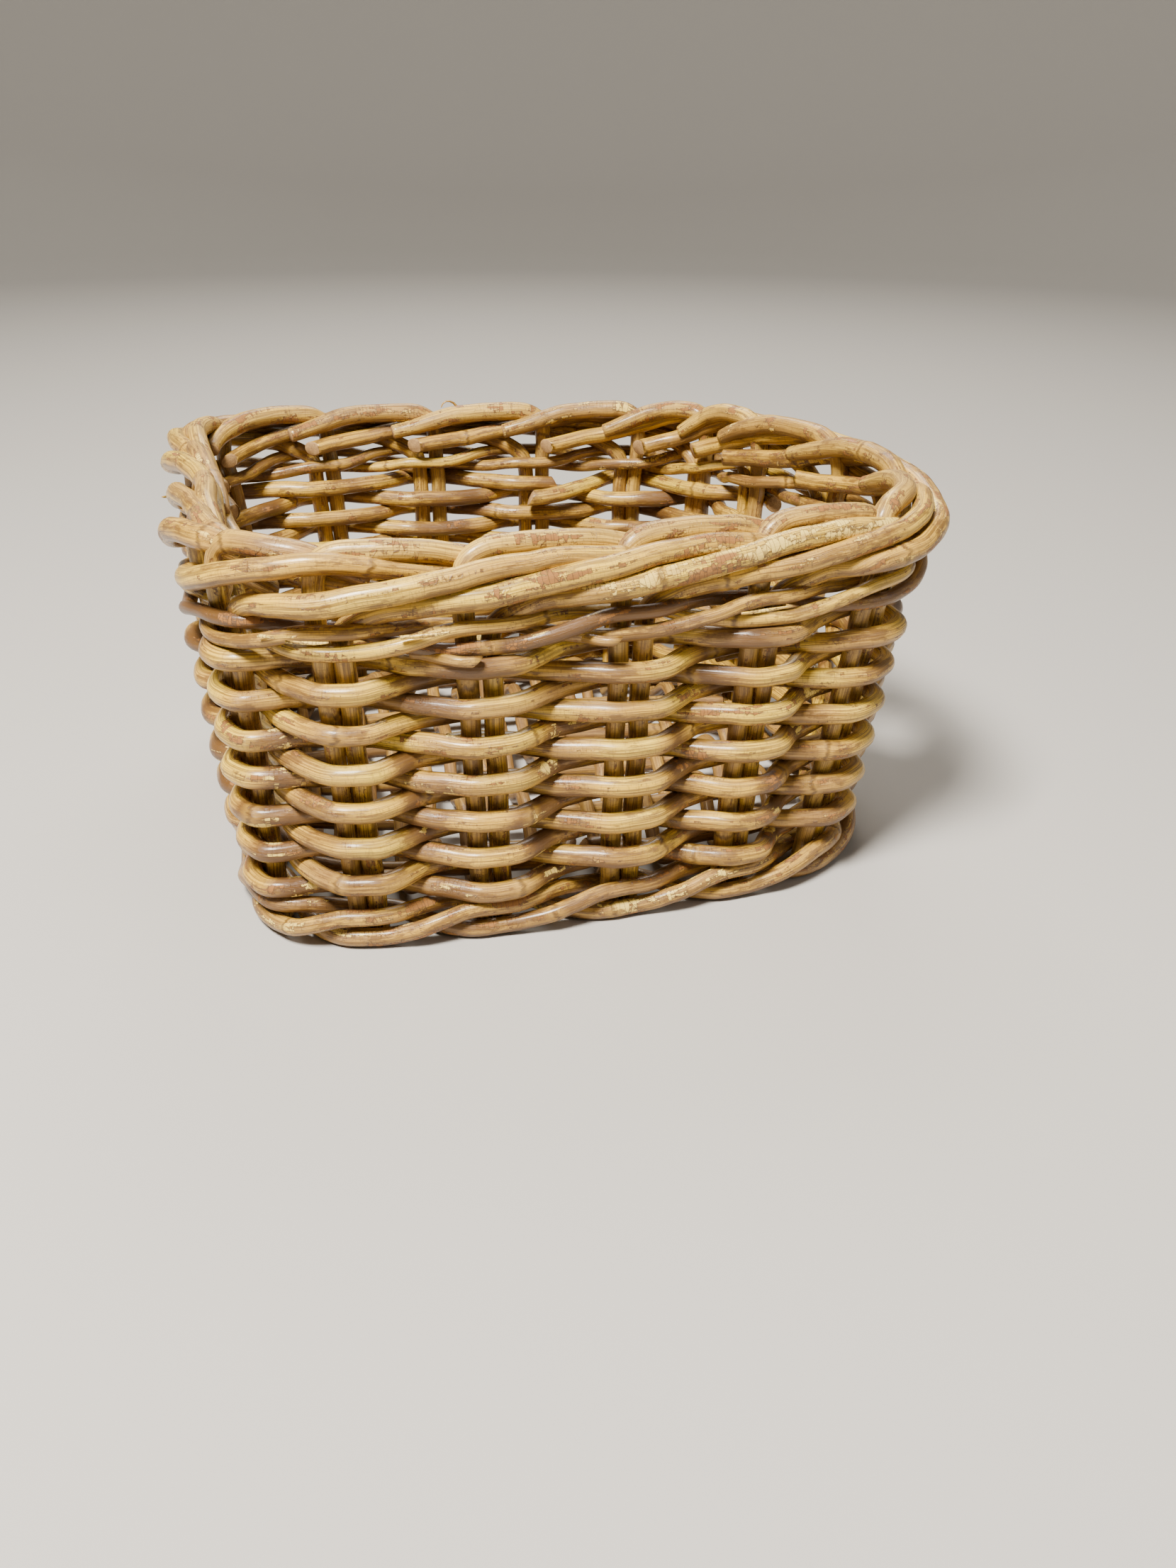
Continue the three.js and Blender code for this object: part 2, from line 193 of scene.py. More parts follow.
# %% How the basket has settled
FOOT_LEAN = ((-2, 2.5), (2, 3), (0, -4), (3, -3.5))  # mm outward at the foot
RIM_LEAN = ((-2, 2), (-2, 5.5), (-2, -6.5), (2, -4))  # mm outward at the rim
SLIDE = ((-0.05, -0.04), (-0.04, -0.06), (0.02, 0.03), (0, 0.09))  # stake spacings
LIFT = ((4, 1.5), (-2, 2), (-1, -1.5))  # mm upward at the rim
DENTS = (
    # place, half width in spacings, mm outward at the foot, mm outward at the rim
    (15.9, 0.8, 15, 0),  # the front left corner of the foot is squarer
    (2.6, 0.6, 0, 6),  # the front right corner of the rim is pulled out
    (5.6, 1.2, -3, -17),  # the right end is straight towards the back
    (11.6, 0.5, 0, 7),  # the back left corner of the rim is squarer
    (13.4, 1.1, 0, -8),  # the left end is pressed in
)


def waves(place, parts):
    angle = 2 * np.pi * np.asarray(place, float) / PAIRS
    pairs = enumerate(parts, start=1)
    return sum(a * np.cos(k * angle) + b * np.sin(k * angle) for k, (a, b) in pairs)


def dents(place, share):
    total = 0
    for centre, half, foot, rim in DENTS:
        away = np.mod(place - centre + PAIRS / 2, PAIRS) - PAIRS / 2
        total = total + np.exp(-(away / half) ** 2) * (foot * (1 - share) + rim * share)
    return total


# %% Points on the settled wall
def wall(place, z, out=0.0, rise=0.0):
    """Points at places and heights of the wall, moved out of it and up, in mm."""
    place, z, out, rise = np.broadcast_arrays(
        *(np.asarray(value, float) for value in (place, z, out, rise)))
    share = z / border_height
    along = np.mod(place + waves(place, SLIDE), PAIRS) * spacing
    point = [np.interp(along, walked, outline[:, k]) for k in (0, 1)]
    tangent = [np.interp(along, walked, tangents[:, k]) for k in (0, 1)]
    push = out + dents(place, share)
    push = push + waves(place, FOOT_LEAN) * (1 - share) + waves(place, RIM_LEAN) * share
    half_width, half_depth = half_plan(z)
    x = point[0] * half_width / mid_width + tangent[1] * push
    y = point[1] * half_depth / mid_depth - tangent[0] * push
    return np.stack([x, y, z + rise + waves(place, LIFT) * share], axis=-1)


def outward(place):
    """The wall's outward direction at a place."""
    step = wall(place, border_height, 1) - wall(place, border_height)
    return step / np.linalg.norm(step, axis=-1, keepdims=True)


print("front middle of the rim:", wall(0, border_height).round(1))

# %% [markdown]
# ## Rattan
# Rattan is a climbing palm. Its cane is solid, with a hard glossy skin over a fibrous
# pith. Four things tell the eye that it is rattan and not plastic: fine brown
# streaks that run lengthwise, a dark ring with a slight knuckle wherever a leaf grew,
# slow changes from straw to brown along each cane, and patches where the skin has
# cracked across and flaked off to show pale wood. This basket is varnished, so
# the skin keeps a soft shine and the flaked patches are duller.
#
# Every pattern follows the cane, so it reads an attribute, "grain", that holds a
# point's place across the section and its distance along the cane in millimetres.
# A second attribute, "look", holds the cane's tone, which also carries painted shade on its
# underside and where a weaver dives behind a pair, its wear and the distance to the nearest leaf
# ring.

# %% Colours and one function to add a node
def linear(code):
    """An sRGB hex colour as linear RGBA."""
    parts = [int(code[i:i + 2], 16) / 255 for i in (1, 3, 5)]
    return [p / 12.92 if p <= 0.04045 else ((p + 0.055) / 1.055) ** 2.4 for p in parts] + [1]


def add(tree, kind, inputs=None, stops=(), **settings):
    """Adds a node with its settings. Inputs are set or linked, and a ramp gets its stops.
    A node given as an input stands for its first output."""
    node = tree.nodes.new(kind)
    for key, value in settings.items():
        setattr(node, key, value)
    for socket, value in (inputs or {}).items():
        if isinstance(value, bpy.types.Node):
            value = value.outputs[0]
        if isinstance(value, bpy.types.NodeSocket):
            tree.links.new(value, node.inputs[socket])
        else:
            node.inputs[socket].default_value = value
    for place, (position, colour) in enumerate(stops):
        elements = node.color_ramp.elements
        element = elements[place] if place < 2 else elements.new(position)
        element.position = position
        element.color = linear(colour) if isinstance(colour, str) else [colour] * 3 + [1]
    return node


def new_material(name):
    material = bpy.data.materials.new(name)
    material.use_nodes = True
    material.node_tree.nodes.clear()
    return material, material.node_tree


# %% [markdown]
# Each pattern is a noise texture stretched along the cane. Its two sizes are
# real ones: how wide a mark is across the cane, and how long.

# %% Marks of the skin
MARKS = {
    # name: (width mm, length mm, detail, roughness)
    "mottle": (14, 75, 2, 0.5),  # slow change of colour along the cane
    "streak": (1.3, 80, 5, 0.75),  # brown lengthwise streaks
    "fibre": (0.55, 22, 2, 0.5),  # fine ribs, drawn twice their real width so that they show
    "tick": (4.5, 0.9, 2, 0.5),  # hairline cracks across the skin
    "stain": (6, 20, 6, 0.65),  # weathered brown patches
    "flake": (5, 22, 6, 0.62),  # where the skin has come off
}
ATTRIBUTE, MAPPING, NOISE = "ShaderNodeAttribute", "ShaderNodeMapping", "ShaderNodeTexNoise"
CELLS, MATH, MIX = "ShaderNodeTexVoronoi", "ShaderNodeMath", "ShaderNodeMix"
RAMP, RANGE = "ShaderNodeValToRGB", "ShaderNodeMapRange"


def skin_marks(tree, grain):
    """The noise behind each kind of mark."""
    marks = {}
    for mark, (width, length, detail, rough) in MARKS.items():
        size = add(tree, MAPPING, {"Vector": grain, "Scale": (1 / width, 1 / width, 1 / length)})
        marks[mark] = add(tree, NOISE, {"Vector": size, "Scale": 1, "Detail": detail,
                                        "Roughness": rough})
    return marks


print("marks of the skin:", ", ".join(MARKS))

# %% [markdown]
# Sound skin takes its colour from the cane's tone, which carries painted shade as well as the
# cane's own colour, moved up and down by the mottle.
# Each mark is then laid over it as a thin brown glaze, because every mark on sound
# skin is darker than the straw ground.

# %% Colour of sound skin
MOTTLE_SWING = 0.55  # how far the mottle moves the tone
STAIN_PULL = 0.22  # how much more a dark stretch of cane is stained


def sound_skin(tree, marks, tone, tones, streak_depth, stain_depth):
    """The colour of skin that hasn't flaked, and how deep its streaks are."""
    shifted = add(tree, MATH, {0: marks["mottle"], 1: MOTTLE_SWING, 2: tone},
                  operation="MULTIPLY_ADD")
    centred = add(tree, MATH, {0: shifted, 1: MOTTLE_SWING / 2}, operation="SUBTRACT")
    colour = add(tree, RAMP, {0: centred}, tones)
    # Stain gathers where the tone is dark: where the cane dives behind a pair and on its underside.
    # That tone carries painted shade, so the stain deepens the painted shade there.
    stain_and_painted_shade = add(tree, MATH, {0: tone, 1: STAIN_PULL, 2: marks["stain"]}, operation="MULTIPLY_ADD")
    glazes = {
        # name: (pattern, where it starts, where it is full, how deep it is then, its brown)
        "dull": (marks["mottle"], 0.48, 0.62, 0.35, "#ad834d"),
        "streak": (marks["streak"], 0.47, 0.57, streak_depth, "#5c3d16"),
        "fibre": (marks["fibre"], 0.48, 0.62, 0.48, "#6a4719"),
        "tick": (marks["tick"], 0.56, 0.66, 0.3, "#785524"),
        "stain": (stain_and_painted_shade, 0.59, 0.65, stain_depth, "#66431a"),
    }
    depths = {}
    for glaze, (pattern, start, full, depth, brown) in glazes.items():
        depths[glaze] = add(tree, RAMP, {0: pattern}, [(start, 0.0), (full, depth)])
        colour = add(tree, MIX, {0: depths[glaze], 6: colour, 7: linear(brown)},
                     data_type="RGBA").outputs[2]
    return colour, depths["streak"]


# %% [markdown]
# Worn skin cracks into small cells before it falls off in plates, so both come from
# one Voronoi pattern, and a noise says where the wear is. The more a cane is
# worn, the more plates are gone. Some show the brown under-skin, and the most worn
# show pale wood.

# %% Cracks and flaked plates
CRACK_WIDTH = 9.0  # mm between cracks round the cane
CRACK_LENGTH = 2.4  # mm between cracks along it
CRACK_BROWN = "#5b3f25"
WEAR_PULL = 0.24  # how much wear adds to the noise
PLATE_PULL = 0.12  # how much one plate differs from the next
BARE_PULL = 0.6  # how much wear bares the wood


def worn_skin(tree, grain, marks, wear):
    """Where plates are gone, their dark edges, the cracks, and the colour under the plates."""
    plate = add(tree, MAPPING, {"Vector": grain,
                                "Scale": (1 / CRACK_WIDTH, 1 / CRACK_WIDTH, 1 / CRACK_LENGTH)})
    cells = {"Vector": plate, "Scale": 1, "Randomness": 0.75}
    plates = add(tree, CELLS, cells)
    seams = add(tree, CELLS, cells, feature="DISTANCE_TO_EDGE")
    amount = add(tree, MATH, {0: wear, 1: WEAR_PULL, 2: marks["flake"]}, operation="MULTIPLY_ADD")
    amount = add(tree, MATH, {0: plates.outputs["Color"], 1: PLATE_PULL, 2: amount},
                 operation="MULTIPLY_ADD")
    gone = add(tree, RAMP, {0: amount}, [(0.765, 0.0), (0.772, 1.0)])
    edges = add(tree, RAMP, {0: amount}, [(0.74, 0.0), (0.76, 0.8), (0.77, 0.8), (0.785, 0.0)])
    near = add(tree, RAMP, {0: amount}, [(0.68, 0.0), (0.74, 0.7)])
    lines = add(tree, RAMP, {0: seams}, [(0.015, 1.0), (0.07, 0.0)])
    cracks = add(tree, MATH, {0: lines, 1: near}, operation="MULTIPLY")
    bare = add(tree, MATH, {0: wear, 1: BARE_PULL, 2: marks["mottle"]}, operation="MULTIPLY_ADD")
    under = add(tree, RAMP, {0: bare}, [(0.86, "#96642a"), (0.92, "#ecca66")])
    return gone, edges, cracks, under


# %% [markdown]
# A leaf ring is a ragged brown line about 2 mm wide, where the leaf's sheath was torn
# off, with a paler band beside it. The streaks break the line up.

# %% Leaf rings
RAGGED = 14.0  # mm that the noise moves a ring's edge, at most
RING_LINE = (0.6, 2.2, 0.85)  # mm of full strength, mm to where it fades out, strength
RING_BAND = (1.5, 7.0, 0.35)


def ring_marks(tree, marks, from_ring):
    """How strong the dark line and the pale band of the nearest leaf ring are."""
    moved = add(tree, MATH, {0: marks["flake"], 1: RAGGED, 2: from_ring}, operation="MULTIPLY_ADD")
    moved = add(tree, MATH, {0: moved, 1: RAGGED / 2}, operation="SUBTRACT")
    distance = add(tree, MATH, {0: moved}, operation="ABSOLUTE")
    line, band = (add(tree, RANGE, {0: distance, 1: full, 2: end, 3: strength, 4: 0.0})
                  for full, end, strength in (RING_LINE, RING_BAND))
    broken = add(tree, RAMP, {0: marks["streak"]}, [(0.4, 1.0), (0.66, 0.45)])
    line = add(tree, MATH, {0: line, 1: broken}, operation="MULTIPLY")
    return line, band


# %% [markdown]
# One finish puts these together. Relief follows the same patterns: ribs, streaks,
# cracks and rings are cut in, and flaked patches lie a little lower. The varnish
# is a clear coat over the skin, and bare wood under it is rougher.

# %% The skin of one finish
RIB_HEIGHT = 0.35
CUTS = (0.5, 0.4, 0.8, 0.7)  # how deep streaks, flaked patches, cracks and rings are
RELIEF = 0.4  # mm, the height that 1 stands for
BARE_ROUGHNESS = 0.68
GLOSS_SWING = 0.22  # how much the stains vary the roughness


def rattan_skin(name, tones, streak_depth, stain_depth, roughness):
    material, tree = new_material(name)
    grain = add(tree, ATTRIBUTE, attribute_name="grain").outputs["Vector"]
    traits = add(tree, ATTRIBUTE, attribute_name="look").outputs["Vector"]
    tone, wear, from_ring = add(tree, "ShaderNodeSeparateXYZ", {0: traits}).outputs
    marks = skin_marks(tree, grain)
    colour, streaks = sound_skin(tree, marks, tone, tones, streak_depth, stain_depth)
    gone, edges, cracks, under = worn_skin(tree, grain, marks, wear)
    line, band = ring_marks(tree, marks, from_ring)
    crack_brown = linear(CRACK_BROWN)
    for depth, over in ((gone, under), (edges, crack_brown), (cracks, crack_brown),
                        (band, linear("#dfae40")), (line, linear("#4a2d12"))):
        colour = add(tree, MIX, {0: depth, 6: colour, 7: over}, data_type="RGBA").outputs[2]

    relief = add(tree, MATH, {0: marks["fibre"], 1: RIB_HEIGHT}, operation="MULTIPLY")
    for depth, cut in zip((streaks, gone, cracks, line), CUTS):
        relief = add(tree, MATH, {0: depth, 1: -cut, 2: relief}, operation="MULTIPLY_ADD")
    bump = add(tree, "ShaderNodeBump", {"Height": relief, "Strength": 0.7, "Distance": RELIEF * MM})
    matt = add(tree, RANGE, {0: gone, 3: roughness, 4: BARE_ROUGHNESS})
    varied = add(tree, MATH, {0: marks["stain"], 1: GLOSS_SWING, 2: matt}, operation="MULTIPLY_ADD")
    skin = add(tree, "ShaderNodeBsdfPrincipled",
               {"Base Color": colour, "Roughness": varied, "IOR": 1.5, "Coat Weight": 0.32,
                "Coat Roughness": 0.18, "Normal": bump})
    add(tree, "ShaderNodeOutputMaterial", {0: skin})
    return material


print("flaked plates of %.1f by %.1f mm" % (CRACK_WIDTH, CRACK_LENGTH))

# %% [markdown]
# The finishes differ only in tone, depth of marks and gloss. The uprights were darker
# and rougher canes. The border was picked from thick ones, and hands have worn it most.

# %% Five finishes of rattan
HONEY = [(0.0, "#f3cb42"), (0.25, "#e0b03e"), (0.5, "#b5893a"), (0.75, "#765528"), (1.0, "#3f2b12")]
BROWN = [(0.0, "#e0b64c"), (0.35, "#b68c3a"), (0.65, "#7a5727"), (1.0, "#402d14")]
skins = {
    "weaver_cane": rattan_skin("varnished_rattan_honey", HONEY, 0.65, 0.7, 0.3),
    "stake_cane": rattan_skin("varnished_rattan_border", HONEY, 0.65, 0.65, 0.28),
    "bye_stake_cane": rattan_skin("varnished_rattan_brown", BROWN, 0.55, 0.6, 0.36),
    "wale_cane": rattan_skin("varnished_rattan_tan", HONEY, 0.65, 0.7, 0.32),
    "base_cane": rattan_skin("dull_rattan_base", BROWN, 0.6, 0.5, 0.5),
}
print("finishes:", sorted(skins))

# %% [markdown]
# A cut end shows the pith: a dull, pale brown disc full of open pores, each the
# end of a fibre bundle about half a millimetre across.

# %% Cut ends
PORE = 0.6  # mm between pores
PATCH = 10 / 3  # mm, size of a stain

pith, tree = new_material("cut_rattan_pith")
grain = add(tree, ATTRIBUTE, attribute_name="grain").outputs["Vector"]
size = add(tree, MAPPING, {"Vector": grain, "Scale": (1 / PORE, 1 / PORE, 0.05)})
pores = add(tree, CELLS, {"Vector": size, "Scale": 1, "Randomness": 0.9})
holes = add(tree, RAMP, {0: pores}, [(0.12, "#5c4126"), (0.42, "#b08a55")])
patch = add(tree, NOISE, {"Vector": grain, "Scale": 1 / PATCH, "Detail": 3})
stains = add(tree, RAMP, {0: patch}, [(0.35, 0.0), (0.7, 0.6)])
colour = add(tree, MIX, {0: stains, 6: holes, 7: linear("#7a5a38")}, data_type="RGBA").outputs[2]
bump = add(tree, "ShaderNodeBump", {"Height": pores, "Strength": 0.5, "Distance": 0.2 * MM})
wood = add(tree, "ShaderNodeBsdfPrincipled", {"Base Color": colour, "Roughness": 0.85,
                                              "Normal": bump})
add(tree, "ShaderNodeOutputMaterial", {0: wood})
print("cut ends:", pith.name)

# %% [markdown]
# ## Bending a cane
# A cane could be a curve with a round bevel, but then its section is perfectly
# round and its marks can't be placed. Here a straight peg is turned first: a
# cylinder, cut into rings, with its two ends inset for a chamfer. Then
# every ring is carried to its place on the route, so the mesh stays closed and
# even, and each vertex still knows where on the cane it grew.

# %% A straight peg
SIDES = 16
RING_STEP = 3.0  # mm between rings
END_INSET = 0.16  # of the radius, for the chamfer at a cut end
pegs = {}


def peg(rings):
    """A straight cane of unit radius and length, and where its vertices are."""
    if rings not in pegs:
        rod = bmesh.new()
        bmesh.ops.create_cone(rod, cap_ends=True, cap_tris=False, segments=SIDES,
                              radius1=1, radius2=1, depth=1)
        ends = [face for face in rod.faces if len(face.verts) == SIDES]
        for face in ends:
            face.material_index = 1
        lengthwise = [edge for edge in rod.edges
                      if abs(edge.verts[0].co.z - edge.verts[1].co.z) > 0.5]
        bmesh.ops.subdivide_edges(rod, edges=lengthwise, cuts=rings - 2, use_grid_fill=True)
        bmesh.ops.inset_individual(rod, faces=ends, thickness=END_INSET, use_even_offset=True)
        bmesh.ops.poke(rod, faces=ends)
        bmesh.ops.recalc_face_normals(rod, faces=rod.faces)
        mesh = bpy.data.meshes.new("peg_%d" % rings)
        rod.to_mesh(mesh)
        rod.free()
        spots = np.empty(len(mesh.vertices) * 3)
        mesh.vertices.foreach_get("co", spots)
        pegs[rings] = mesh, spots.reshape(-1, 3)
    return pegs[rings]


print("a peg of 10 rings has", len(peg(10)[0].polygons), "faces")

# %% [markdown]
# A route is first drawn roughly, then softened, because a cane bends over a length
# and never at a point, and last divided evenly. Cane also wanders: it is never
# quite straight and never quite the same thickness. Both are a sum of a few sine
# waves with seeded phases, so that each run of the script bends the same basket.

# %% Routes
chance = np.random.default_rng(11)


def even(route, step):
    """The same route with evenly spaced points."""
    run = np.concatenate([[0], np.cumsum(np.linalg.norm(np.diff(route, axis=0), axis=1))])
    count = max(6, int(round(run[-1] / step)) + 1)
    marks = np.linspace(0, run[-1], count)
    return np.stack([np.interp(marks, run, column) for column in route.T], axis=1)


def soften(route, reach):
    """Rounds a route's corners over about reach millimetres, and keeps its ends."""
    fine = even(route, 1.0)
    half = min(int(3 * reach), len(fine) - 1)
    weights = np.exp(-0.5 * (np.arange(-half, half + 1) / reach) ** 2)
    weights /= weights.sum()
    before = 2 * fine[0] - fine[half:0:-1]
    after = 2 * fine[-1] - fine[-2:-half - 2:-1]
    padded = np.concatenate([before, fine, after])
    return np.stack([np.convolve(column, weights, "valid") for column in padded.T], axis=1)


def drift(run, length):
    """A slow wander between about -1 and 1 along a run, one swing per length."""
    swing = sum(w * np.sin(2 * np.pi * run * f / length + chance.uniform(0, 2 * np.pi))
                for w, f in ((0.55, 1), (0.3, 1.73), (0.15, 3.1)))
    return swing


# %% Values along a cane
UP = np.array([0.0, 0.0, 1.0])


def along(run, value):
    """One value for each ring, from one number or from shares of the length and values."""
    return np.interp(run / run[-1], *value) if np.ndim(value) else np.full(len(run), float(value))


def respaced(rows, count):
    """Evenly spaced rows of values, at another number of even marks."""
    given, wanted = np.linspace(0, 1, len(rows)), np.linspace(0, 1, count)
    return np.stack([np.interp(wanted, given, column) for column in np.transpose(rows)], axis=1)


# %% [markdown]
# Bending is the one step that every cane goes through. It works out which way is
# ahead, sideways and up at every ring, draws where the leaf rings are and how the
# thickness changes, and carries the peg's vertices there. The cane swells a little at
# a leaf ring, its section is slightly oval, and its underside is painted darker, as
# painted shade from the light above.

# %% What makes a cane uneven
RING_SPACING = (140, 290)  # mm between leaf rings
KNUCKLE = 0.05  # how much thicker a cane is at a leaf ring
KNUCKLE_REACH = 4  # mm
OVAL = 0.025
OVAL_TURN = 40  # mm of cane in which the oval turns by one radian
CHAMFER = 0.12  # of the radius
# Painted shade: the underside of every cane is drawn darker, as if shaded from the light above.
UNDERSIDE_SHADE = 0.35  # how much darker the underside of a cane is
WANDER_RUN = 60  # mm of cane to a swing of its wander
SWELL_RUN = 150  # and of its thickness
TONE_RUN = 200  # and of its tone
TONE_SWING = 0.06
print("leaf rings every %d to %d mm" % RING_SPACING)


# %% Bend a peg along a route
def bend(route, thickness, up=UP, tone=0.4, wear=0.1, wobble=0.45, thick=1.0, cut=(0, 0),
         spread=0.04):
    """A cane: its peg, its points, and the grain and look of each point."""
    route = even(np.asarray(route), RING_STEP)
    run = np.linspace(0, np.linalg.norm(np.diff(route, axis=0), axis=1).sum(), len(route))
    route = route + wobble * np.stack([drift(run, WANDER_RUN) for _ in range(3)], axis=1)
    ahead = np.gradient(route, axis=0)
    ahead /= np.linalg.norm(ahead, axis=1, keepdims=True)
    side = np.cross(ahead, respaced(np.atleast_2d(up), len(run)))
    side /= np.linalg.norm(side, axis=1, keepdims=True)
    top = np.cross(side, ahead)

    first = chance.uniform(20, RING_SPACING[1])
    gaps = chance.uniform(*RING_SPACING, 12)
    leaf_rings = first + np.cumsum(gaps) - gaps[0]
    nearest = np.abs(run[:, None] - leaf_rings).argmin(axis=1)
    from_ring = run - leaf_rings[nearest]

    knuckle = KNUCKLE * np.exp(-(from_ring / KNUCKLE_REACH) ** 2)
    radius = thickness / 2 * (1 + spread * drift(run, SWELL_RUN) + knuckle) * along(run, thick)
    mesh, spots = peg(len(route))
    ring = np.rint((spots[:, 2] + 0.5) * (len(route) - 1)).astype(int)
    across = np.hypot(spots[:, 0], spots[:, 1])
    angle = np.arctan2(spots[:, 1], spots[:, 0])
    oval = 1 + OVAL * np.cos(2 * angle + run[ring] / OVAL_TURN + chance.uniform(0, 6))
    flat = spots[:, :2] * (radius[ring] * oval)[:, None]

    # At a cut end the outer ring is drawn back for the chamfer, and the cut may slant.
    slip = np.zeros(len(spots))
    for end, sign, slant in ((0, 1, cut[0]), (len(route) - 1, -1, cut[1])):
        here = ring == end
        slip[here] += sign * CHAMFER * radius[end] * (across[here] > 0.95)
        slip[here] += slant * flat[here, 1]
    points = (route[ring] + side[ring] * flat[:, :1] + top[ring] * flat[:, 1:]
              + ahead[ring] * slip[:, None])
    start = chance.uniform(0, 4000)
    grain = np.column_stack([spots[:, :2] * thickness / 2, run[ring] + slip + start])
    # Painted shade on the underside, darker the more a point faces down.
    facing = side[ring] * spots[:, :1] + top[ring] * spots[:, 1:2]
    underside_shade = UNDERSIDE_SHADE * np.clip(-facing[:, 2], 0, 1)
    tone = along(run, tone) + TONE_SWING * drift(run, TONE_RUN)
    look = np.column_stack([tone[ring] + underside_shade, along(run, wear)[ring], from_ring[ring]])
    return mesh, points, grain, look


# %% [markdown]
# A piece is one or more bent canes in one mesh: a stake with its tail, or
# a wale with the slivers of skin that lift from it. The pegs are joined as they
# are, and only then are all their vertices carried to the bent places at once.

# %% Make a piece of bent canes
collection = bpy.data.collections.new("basket")
bpy.context.scene.collection.children.link(collection)
made = []


def make_piece(node, slot, *canes):
    joined = bmesh.new()
    for straight, *_ in canes:
        joined.from_mesh(straight)
    mesh = bpy.data.meshes.new("rattan_" + node)
    joined.to_mesh(mesh)
    joined.free()
    points, grain, look = (np.concatenate([cane[k] for cane in canes]) for k in (1, 2, 3))
    mesh.vertices.foreach_set("co", (points * MM).ravel())
    for name, values in (("grain", grain), ("look", look)):
        layer = mesh.attributes.new(name, "FLOAT_VECTOR", "POINT")
        layer.data.foreach_set("vector", values.ravel())
    mesh.materials.append(skins[slot])
    mesh.materials.append(pith)
    mesh.shade_smooth()
    mesh.update()
    piece = bpy.data.objects.new("rattan_" + node, mesh)
    collection.objects.link(piece)
    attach(piece, "root")
    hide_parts(node)
    made.append(piece)


def count(stem=""):
    pieces = [p for p in made if p.name.startswith("rattan_" + stem)]
    faces = sum(len(p.data.polygons) for p in pieces)
    print("rattan_%s: %d pieces, %d faces" % (stem, len(pieces), faces))


# %% [markdown]
# ## Base
# Six sticks run from end to end, and one long cane weaves over and under them,
# turning round the outer sticks. The sticks draw together towards the ends because the
# corners are round. They are duller and browner than the wall. The base was woven
# into the wall's foot, so it has settled with it.

# %% Sizes of the base
BASE_STICKS = 6
BASE_PASSES = 16
BASE_BOW = 22  # mm that the outer sticks curve in
END_MARGIN = 22  # mm from the last pass to the wale
BASE_WRAP_EASE = 1.22  # the base weaver bends this much wider than it needs
base_wrap = BASE_WRAP_EASE * ((BASE_STICK + BASE_WEAVER) / 2 + GAP)
base_height = sum(span("base_stick_01")) / 2
foot_inside = STAKE / 2 + 2 * HALF_WIDTH * FOOT_WALE + 2 * GAP
foot_width, foot_depth = half_plan(base_height)
base_width = foot_width - foot_inside
base_depth = foot_depth - foot_inside - base_wrap - BASE_WEAVER / 2
last_pass = base_width - END_MARGIN


print("base: %.0f by %.0f mm inside the wall" % (2 * base_width, 2 * base_depth))


# %% Base sticks
def stick_depth(stick, x):
    """How far back a stick lies. The outer ones curve in towards the ends."""
    share = 2 * stick / (BASE_STICKS - 1) - 1
    return share * (base_depth - BASE_BOW * (x / last_pass) ** 2)


def bearing(points):
    return np.arctan2(points[:, 0], -points[:, 1])


drawn_foot = outline * (foot_width / mid_width, foot_depth / mid_depth)
real_foot = wall(np.linspace(0, PAIRS, 720), base_height)[:, :2]


def settled(route):
    """A route of the base, stretched outward as the foot of the wall was."""
    drawn, real = (np.interp(bearing(route), bearing(foot), np.linalg.norm(foot, axis=1),
                             period=2 * np.pi) for foot in (drawn_foot, real_foot))
    share = np.linalg.norm(route[:, :2], axis=1) / drawn
    stretch = 1 + (real / drawn - 1) * share ** 2
    return np.column_stack([route[:, :2] * stretch[:, None], route[:, 2]])


for stick in range(BASE_STICKS):
    node = "base_stick_%02d" % (stick + 1)
    bottom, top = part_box(node)
    x = np.linspace(bottom.x / MM, top.x / MM, 40)
    route = np.stack([x, stick_depth(stick, x), np.full(40, base_height)], axis=1)
    tone = 0.5 + chance.uniform(-0.15, 0.2)
    make_piece(node, "base_cane", bend(settled(route), BASE_STICK, tone=tone))
count("base_stick")

# %% The base weaver
ON_STICK = 0.18  # half the length that lies on a stick, in stick gaps
OVER_STICK = 0.92  # how far over or under a stick the weaver goes, of base_wrap
ROUND_STICK = 1.05  # how far it goes out round the outer stick
pass_gap = 2 * last_pass / (BASE_PASSES - 1)
route = []
for crossing in range(BASE_PASSES):
    x = crossing * pass_gap - last_pass
    heading = 1 if crossing % 2 == 0 else -1
    order = range(BASE_STICKS)[::heading]
    for stick in order:
        over = 1 if (crossing + stick) % 2 == 0 else -1
        for part in (-ON_STICK, 0, ON_STICK):
            if 0 <= stick + heading * part <= BASE_STICKS - 1:
                route.append([x, stick_depth(stick + heading * part, x),
                              base_height + over * base_wrap * OVER_STICK])
    if crossing < BASE_PASSES - 1:
        for angle in np.radians([35, 65, 90, 115, 145]):
            across = x + pass_gap * angle / np.pi
            swing = heading * base_wrap * np.sin(angle) * ROUND_STICK
            route.append([across, stick_depth(order[-1], across) + swing,
                          base_height + over * base_wrap * np.cos(angle)])
make_piece("base_weaver", "base_cane",
           bend(settled(soften(np.array(route), 5)), BASE_WEAVER, up=(1, 0, 0), tone=0.45,
                wear=0.2))
count("base_weaver")

# %% [markdown]
# ## Uprights and border
# Eighteen stakes carry the wall, each with a shorter bye-stake beside it. Above the
# top wale every stake bends to the right and goes on round the rim: it starts under the
# roll, rises up its outside, crosses over its top and dives down its inside,
# where it is cut. Four neighbours lie side by side at any place, like the strands
# of a rope. So the border isn't an edging put on later, and each stake is one
# piece from its foot to its cut tail. At the two ends of the basket the strands were
# laid as taller loops. Each bye-stake comes up through the roll and bends over its
# inner top, as a short lobe between two strands.

